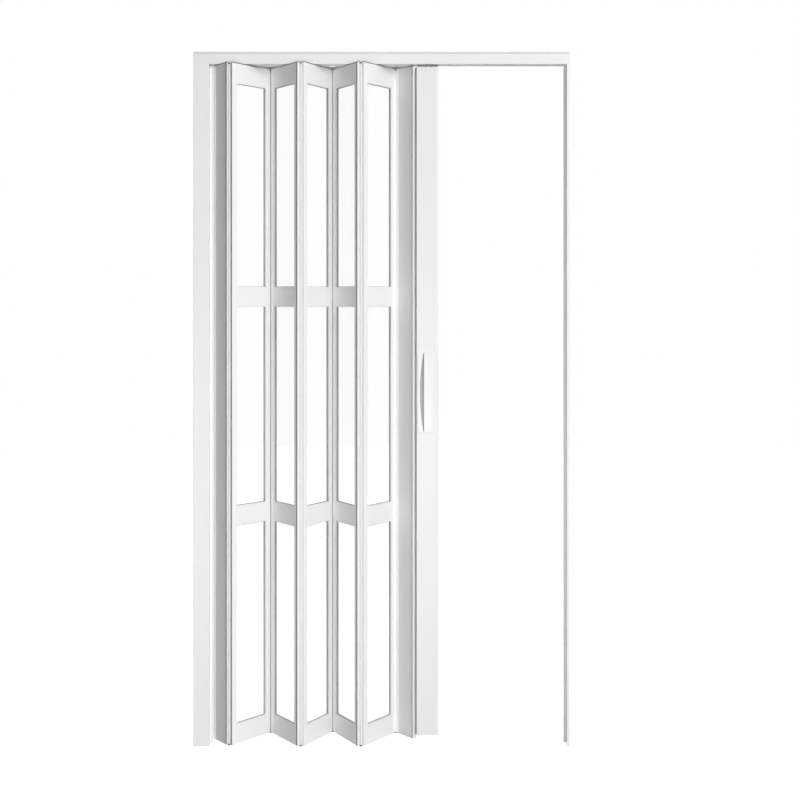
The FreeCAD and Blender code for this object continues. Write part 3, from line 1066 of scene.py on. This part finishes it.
@dataclass
class Discs:
    """A set of flat prisms of one size, such as hexagon nuts or round plugs."""

    name: str
    workshop: Workshop
    radius: float
    height: float
    sides: int
    recipe: Finish
    seed: int = 5

    def build(self, places: list[Vector], slot: str) -> bpy.types.Object:
        """Make the prisms.

        Args:
            places: The middle of each.
            slot: Not used.

        Returns:
            The finished piece.
        """
        holder = new_object(self.name, places, [])
        sizes = {
            "Sides": self.sides,
            "Radius": self.radius,
            "Height": self.height,
            "Seed": self.seed,
            "Finish": self.workshop.finish(self.recipe),
        }
        shaper = Shaper("disc", sizes)
        disc = shaper.add(
            "GeometryNodeMeshCylinder",
            {"fill_type": "NGON"},
            {
                "Vertices": shaper.size("Sides"),
                "Radius": shaper.size("Radius"),
                "Depth": shaper.size("Height"),
            },
        )
        turn = shaper.random(0.0, math.pi)
        discs = shaper.add(
            "GeometryNodeInstanceOnPoints",
            {},
            {"Points": shaper.size("Geometry"), "Instance": disc, "Rotation": shaper.vector(0.0, 0.0, turn)},
        )
        return keep(shaper.run(discs, holder))


@dataclass
class HingePlugs:
    """The plugs in the hinge strips' ends, and the dark sleeves, collars and caps on the knuckles of the
    folds that go back, which paint the shade in those folds and under the track.
    """

    workshop: Workshop
    # Folds that get dark sleeves, collars and caps, which paint shade.
    shade_sleeves: tuple[tuple[int, float], ...] = ((2, 2.9 * MM), (4, 3.4 * MM))
    shade_collared: tuple[int, ...] = (2, 4, 6)
    shade_capped: tuple[int, ...] = (2, 4)
    knuckle: float = 2.2 * MM
    tip: float = 0.3 * MM
    sides: int = 20
    radius: float = 3.2 * MM
    height: float = 4.0 * MM
    drop: float = 1.2 * MM
    lift: float = 0.4 * MM
    collar_radius: float = 4.4 * MM
    collar_height: float = 10.5 * MM
    cap_radius: float = 3.9 * MM
    cap_height: float = 7.5 * MM
    cap_proud: float = 0.6 * MM

    def axis(self, hinge: bpy.types.Object) -> tuple[Vector, Vector]:
        """Find the axis of a hinge strip's knuckle.

        Args:
            hinge: The hinge strip.

        Returns:
            The axis's lower and upper end.
        """
        points = [vertex.co for vertex in hinge.data.vertices]
        front = min(point.y for point in points)
        back = max(point.y for point in points)
        edge = front if abs(front) > abs(back) else back
        tip = [point.x for point in points if abs(point.y - edge) < self.tip]
        x, y = sum(tip) / len(tip), edge + math.copysign(self.knuckle, -edge)
        low, high = min(point.z for point in points), max(point.z for point in points)
        return Vector((x, y, low)), Vector((x, y, high))

    def build(self, hinges: list[bpy.types.Object]) -> None:
        """Make the plugs, and the dark sleeves, collars and caps on the knuckles that face the room, which
        paint shade there.

        Args:
            hinges: The fold hinges, from the left.
        """
        axes = [self.axis(hinge) for hinge in hinges]
        places = []
        for low, high in axes:
            places += [self.raised(low, -self.drop), self.raised(high, self.lift)]
        self.discs("hinge_plugs", self.radius, self.height, PLUG_AND_SHADE_RUBBER, places)
        # Painted shade: dark sleeves along the knuckles of folds that go back, and dark collars and caps
        # over their tops.
        for index, radius in self.shade_sleeves:
            RoundSeal(self.workshop, radius, SHADE_SLEEVE_VINYL).build("fold_%d_sleeve" % index, axes[index - 1])
        collars = [self.raised(axes[index - 1][1], self.collar_height / 2) for index in self.shade_collared]
        self.discs("fold_shade_collars", self.collar_radius, self.collar_height, SHADE_SLEEVE_VINYL, collars)
        cap_lift = self.cap_proud - self.cap_height / 2
        caps = [self.raised(axes[index - 1][1], cap_lift) for index in self.shade_capped]
        self.discs("fold_shade_caps", self.cap_radius, self.cap_height, PLUG_AND_SHADE_RUBBER, caps)

    def raised(self, place: Vector, lift: float) -> Vector:
        """Return a place moved up."""
        return place + Vector((0.0, 0.0, lift))

    def discs(self, name: str, radius: float, height: float, recipe: Moulding, places: list[Vector]) -> None:
        """Make one round piece for each place."""
        Discs(name, self.workshop, radius, height, self.sides, recipe).build(places, "hinge_strip")


@dataclass
class TrackFittings:
    """What is fixed inside the head track, on its ends and to the hangers.

    A pair of sizes is a radius and a height.
    """

    workshop: Workshop
    roof: float = 1.6 * MM
    end_margin: float = 40 * MM
    count: int = 4
    roof_screw: tuple[float, float] = (4.0 * MM, 2.2 * MM)
    wheel_radius: float = 7.0 * MM
    hub: tuple[float, float] = (2.8 * MM, 0.9 * MM)
    nut_level: float = -22.9 * MM
    stem_nut: tuple[float, float] = (4.4 * MM, 3.0 * MM)
    lead_nut: tuple[float, float] = (6.2 * MM, 3.0 * MM)
    nut_sides: int = 6
    shade_line_radius: float = 2.4 * MM
    shade_line_sink: float = 1.8 * MM
    shade_line_level: float = -4.1 * MM
    shade_line_margin: float = 1.0 * MM
    cap_thickness: float = 1.5 * MM
    cap_screw: tuple[float, float] = (3.2 * MM, 1.7 * MM)
    cap_screw_place: float = 13.0 * MM
    cap_screw_level: float = -9.0 * MM

    def build(self, stems: list[float]) -> None:
        """Make every fitting.

        Args:
            stems: Where along the track each leaf hangs.
        """
        low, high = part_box("top_track")
        self.roof_screws(high.z - self.roof)
        self.running_gear(stems)
        self.shade_line(low, high)
        self.cap_screws(high.x)

    def roof_screws(self, level: float) -> None:
        """Screw the track up through its roof.

        Args:
            level: The level of the roof's underside.
        """
        left = -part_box("right_track_cap")[1].x + self.end_margin
        step = -2 * left / (self.count - 1)
        down = Vector((0.0, 0.0, -1.0))
        seats = [(Vector((left + index * step, 0.0, level)), down) for index in range(self.count)]
        Screws("track_screws", self.workshop, *self.roof_screw).build(seats, "hanger")

    def running_gear(self, stems: list[float]) -> None:
        """Make the wheels' hubs and the nuts on the stems.

        Args:
            stems: Where along the track each leaf hangs.
        """
        low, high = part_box("lead_wheels")
        axles = stems + [low.x + self.wheel_radius, high.x - self.wheel_radius]
        level = (low.z + high.z) / 2
        hubs = []
        for axle in axles:
            for side in Side:
                face = Vector((0.0, float(side.value), 0.0))
                hubs.append((Vector((axle, side.value * high.y, level)), face))
        Screws("wheel_hubs", self.workshop, *self.hub, Recess.SLOT).build(hubs, "wheel")
        nuts = [Vector((stem, 0.0, self.nut_level)) for stem in stems]
        Discs("stem_nuts", self.workshop, *self.stem_nut, self.nut_sides, HANGER_ZINC).build(nuts, "hanger")
        middle = [Vector(((low.x + high.x) / 2, 0.0, self.nut_level))]
        Discs("lead_nut", self.workshop, *self.lead_nut, self.nut_sides, HANGER_ZINC).build(middle, "hanger")

    def shade_line(self, low: Vector, high: Vector) -> None:
        """Lay a grey line along the track's top front edge, a painted shadow of a groove there.

        Args:
            low: The track's lowest corner.
            high: Its highest corner.
        """
        # Painted shadow: the grey line stands for the shade in a groove below the top edge.
        depth = low.y + self.shade_line_sink
        left = Vector((low.x + self.shade_line_margin, depth, self.shade_line_level))
        right = Vector((high.x - self.shade_line_margin, depth, self.shade_line_level))
        line = RoundSeal(self.workshop, self.shade_line_radius, PALE_SHADE_VINYL)
        line.build("track_shade_line", (left, right), "frame_coat")

    def cap_screws(self, half: float) -> None:
        """Fix the end plates.

        Args:
            half: Half the track's length.
        """
        seats = []
        for end in (-1.0, 1.0):
            for side in Side:
                place = Vector((end * (half + self.cap_thickness), side.value * self.cap_screw_place, 0.0))
                place.z = self.cap_screw_level
                seats.append((place, Vector((end, 0.0, 0.0))))
        Screws("cap_screws", self.workshop, *self.cap_screw).build(seats, "end_cap")


@dataclass
class StrikeFittings:
    """The bumper and the screws inside the narrow jamb that the lead post closes into."""

    workshop: Workshop
    wall: float = 1.6 * MM
    bumper_radius: float = 3.4 * MM
    bumper_foot: float = 4.0 * MM
    bumper_head: float = 2.0 * MM
    screw: tuple[float, float] = (3.8 * MM, 2.0 * MM)
    screw_place: float = 11.0 * MM
    screw_count: int = 5
    screw_margin: float = 120 * MM

    def build(self) -> None:
        """Make the screws down the web and the half-round bumper beside them."""
        low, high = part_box("right_jamb")
        web = high.x - self.wall
        run = high.z - low.z - 2 * self.screw_margin
        seats = []
        for index in range(self.screw_count):
            level = low.z + self.screw_margin + run * index / (self.screw_count - 1)
            seats.append((Vector((web, self.screw_place, level)), Vector((-1.0, 0.0, 0.0))))
        Screws("strike_screws", self.workshop, *self.screw).build(seats, "frame_coat")
        ends = (Vector((web, 0.0, low.z + self.bumper_foot)), Vector((web, 0.0, high.z - self.bumper_head)))
        bumper = RoundSeal(self.workshop, self.bumper_radius, BUMPER_VINYL).build("strike_bumper", ends)
        for vertex in bumper.data.vertices:
            vertex.co.x = min(vertex.co.x, web)


@dataclass(frozen=True)
class Lamp:
    """A large soft light, turned towards the door."""

    name: str
    place: tuple[float, float, float]
    size: float
    power: float
    mirrored: bool = True
    aim: tuple[float, float, float] = (0.0, 0.0, -1.0)

    def hang(self) -> None:
        """Put the lamp in the scene."""
        light = bpy.data.lights.new(self.name, "AREA")
        light.shape = "DISK"
        light.size = self.size
        light.energy = self.power
        lamp = bpy.data.objects.new(self.name, light)
        lamp.location = self.place
        lamp.rotation_euler = (Vector(self.aim) - lamp.location).to_track_quat("-Z", "Y").to_euler()
        lamp.visible_camera = False
        lamp.visible_glossy = self.mirrored
        bpy.context.scene.collection.objects.link(lamp)


@dataclass
class Studio:
    """The pale floor, the white surround and the soft light.

    Each side of the soft light has its strength, and where along that direction it starts and is full.
    """

    workshop: Workshop
    floor_radius: float = 9.0
    floor_sides: int = 96
    floor_drop: float = 0.2 * MM
    dome_radius: float = 9.0
    dome_sides: int = 64
    lamps: tuple[Lamp, ...] = (
        Lamp("key", (2.5, -4.33, 1.4), 2.2, 140.0),
        Lamp("low", (0.0, -5.0, -1.6), 0.8, 67.0),
        Lamp("left", (-2.1, -4.5, -1.6), 0.8, 12.0),
        Lamp("foot", (-0.25, -1.5, -1.75), 0.5, 3.0, False),
    )
    right: tuple[float, float, float] = (0.56, -0.2, 1.0)
    behind: tuple[float, float, float] = (0.85, 0.1, 0.8)
    above: tuple[float, float, float] = (0.57, 0.1, 1.0)

    def build(self) -> None:
        """Set the stage round the door."""
        self.floor()
        self.dome()
        self.world()
        for lamp in self.lamps:
            lamp.hang()
        bpy.context.scene.view_settings.view_transform = "Standard"
        bpy.context.scene.view_settings.look = "None"
        LOG.info("studio: %d lamps", len(self.lamps))

    def floor(self) -> None:
        """Lay the pale floor under the jambs."""
        place = (0.0, 0.0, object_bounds()[0].z - self.floor_drop)
        bpy.ops.mesh.primitive_circle_add(
            vertices=self.floor_sides, radius=self.floor_radius, fill_type="NGON", location=place
        )
        floor = bpy.context.object
        floor.name = "studio_floor"
        floor.data.materials.append(self.workshop.finish(FLOOR_WHITE))
        floor.visible_diffuse = False
        floor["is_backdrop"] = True

    def dome(self) -> None:
        """Put a white dome round everything, which only the camera sees."""
        bpy.ops.mesh.primitive_uv_sphere_add(
            segments=self.dome_sides, ring_count=self.dome_sides // 2, radius=self.dome_radius
        )
        dome = bpy.context.object
        dome.name = "studio_dome"
        dome.data.materials.append(self.workshop.finish(DOME_WHITE))
        dome.visible_diffuse = False
        dome.visible_glossy = False
        dome.visible_shadow = False
        dome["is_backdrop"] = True

    def world(self) -> None:
        """Grade the soft light by its direction: bright behind, milder from above and the right."""
        world = bpy.data.worlds.new("soft_light")
        world.use_nodes = True
        graph = Graph(world.node_tree)
        graph.tree.nodes.clear()
        parts = graph.parts(graph.add("ShaderNodeTexCoord", {}, {}, "Generated"))
        shares = [
            part.ramp(start, full) * level
            for part, (level, start, full) in zip(parts, (self.right, self.behind, self.above))
        ]
        strength = shares[0] + shares[1] + shares[2]
        light = graph.add("ShaderNodeBackground", {}, {"Color": grey(1.0), "Strength": strength})
        graph.add("ShaderNodeOutputWorld", {}, {"Surface": light})
        bpy.context.scene.world = world


@dataclass
class Viewpoint:
    """The camera, level and straight on as the door was pictured."""

    place: tuple[float, float, float] = (0.025, -4.121, -0.7404)
    lens: float = 63.14
    sensor: float = 36.0
    shift: tuple[float, float] = (0.0125, -0.11875)

    def build(self) -> None:
        """Create the camera and make it the scene's."""
        data = bpy.data.cameras.new("viewpoint")
        data.lens = self.lens
        data.sensor_width = self.sensor
        data.shift_x, data.shift_y = self.shift
        camera = bpy.data.objects.new("viewpoint", data)
        camera.location = self.place
        camera.rotation_euler = (math.radians(90.0), 0.0, 0.0)
        bpy.context.scene.collection.objects.link(camera)
        bpy.context.scene.camera = camera


@dataclass
class FoldingDoor:
    """The whole door: the dressed frame and the trim that is added to it."""

    nodes: dict[str, bpy.types.Object]
    workshop: Workshop = field(default_factory=Workshop)
    leaf_count: int = 5
    fold_count: int = 6
    # Size and place of the dark seal that paints the shade in the lead post's hinge gap.
    lead_shade_seal_radius: float = 1.5 * MM
    lead_shade_seal_inset: float = 1.9 * MM
    lead_shade_seal_proud: float = 0.8 * MM

    def build(self) -> None:
        """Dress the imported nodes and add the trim, piece by piece."""
        Dressing(self.workshop, self.nodes).dress()
        seals = LeafSeals(self.workshop)
        stems = self.leaves(seals)
        self.slats(seals)
        self.lead(seals)
        hinges = [self.nodes["fold_hinge_%d" % number] for number in range(1, self.fold_count + 1)]
        HingePlugs(self.workshop).build(hinges)
        TrackFittings(self.workshop).build(stems)
        StrikeFittings(self.workshop).build()

    def leaves(self, seals: LeafSeals) -> list[float]:
        """Trim the glazed leaves.

        Args:
            seals: What seals the leaves.

        Returns:
            Where along the track each leaf hangs.
        """
        beads = GlazingBeads(self.workshop)
        stems = []
        for number in range(1, self.leaf_count + 1):
            panel = "panel_%d" % number
            beads.build(number, LeafPlan(self.nodes[panel + "_glass"]))
            plan = LeafPlan(self.nodes[panel + "_stiles"])
            stems.append(plan.middle.x + plan.along.x * plan.crossing())
            seals.brushes(panel, plan, True)
            # Leaves that face left get a dark seal by their front edge, as painted shade.
            if plan.near() * plan.along.x > 0:
                seals.edge(panel + "_edge_seal", plan)
        return stems

    def slats(self, seals: LeafSeals) -> None:
        """Trim the blank slats, and the first leaf's end beside the starter slat, with seals and piles, most
        of which paint shade.

        Args:
            seals: What seals the leaves.
        """
        starter, closing = (LeafPlan(self.nodes[end + "_slat"]) for end in ("starter", "closing"))
        seals.brushes("starter", starter, False)
        seals.brushes("closing", closing, False)
        # The starter slat's dark seal is painted shade by its front edge.
        seals.edge("starter_edge_seal", starter)
        # The closing slat's grey seal is painted shade by its front end.
        seals.upright(CLOSING_EDGE_SHADE_SEAL, closing)
        seals.upright(CLOSING_NOSE_SEAL, closing)
        # The first leaf's dark nose seal is painted shade in its fold's gap.
        seals.upright(FIRST_NOSE_SHADE_SEAL, LeafPlan(self.nodes["panel_1_stiles"]))

    def lead(self, seals: LeafSeals) -> None:
        """Put a dark seal by the lead post's hinge edge and a dark pile on its top, which paint the shade of
        its gap and under the track.

        Args:
            seals: What seals the leaves.
        """
        low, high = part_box("lead_receiver")
        x, y = high.x - self.lead_shade_seal_inset, low.y - self.lead_shade_seal_proud
        ends = (Vector((x, y, low.z)), Vector((x, y, high.z)))
        # Painted shade: a dark seal in the gap by the lead post's hinge edge.
        RoundSeal(self.workshop, self.lead_shade_seal_radius, DARK_SHADE_VINYL).build("lead_edge_seal", ends)
        plan = LeafPlan(self.nodes["lead_top_cap"])
        reach = plan.half_length - seals.brush_margin
        runs = [(-reach, -seals.lead_gap), (seals.lead_gap, reach)]
        seals.pile("lead_brush", plan, runs, seals.lead_brush, SHADE_PILE)


def main() -> None:
    """Build the door, its studio and its camera."""
    logging.basicConfig(level=logging.INFO, format="%(name)s: %(message)s")
    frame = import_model()
    door = FoldingDoor(frame["nodes"])
    door.build()
    Studio(door.workshop).build()
    Viewpoint().build()


if __name__ == "__main__":
    main()
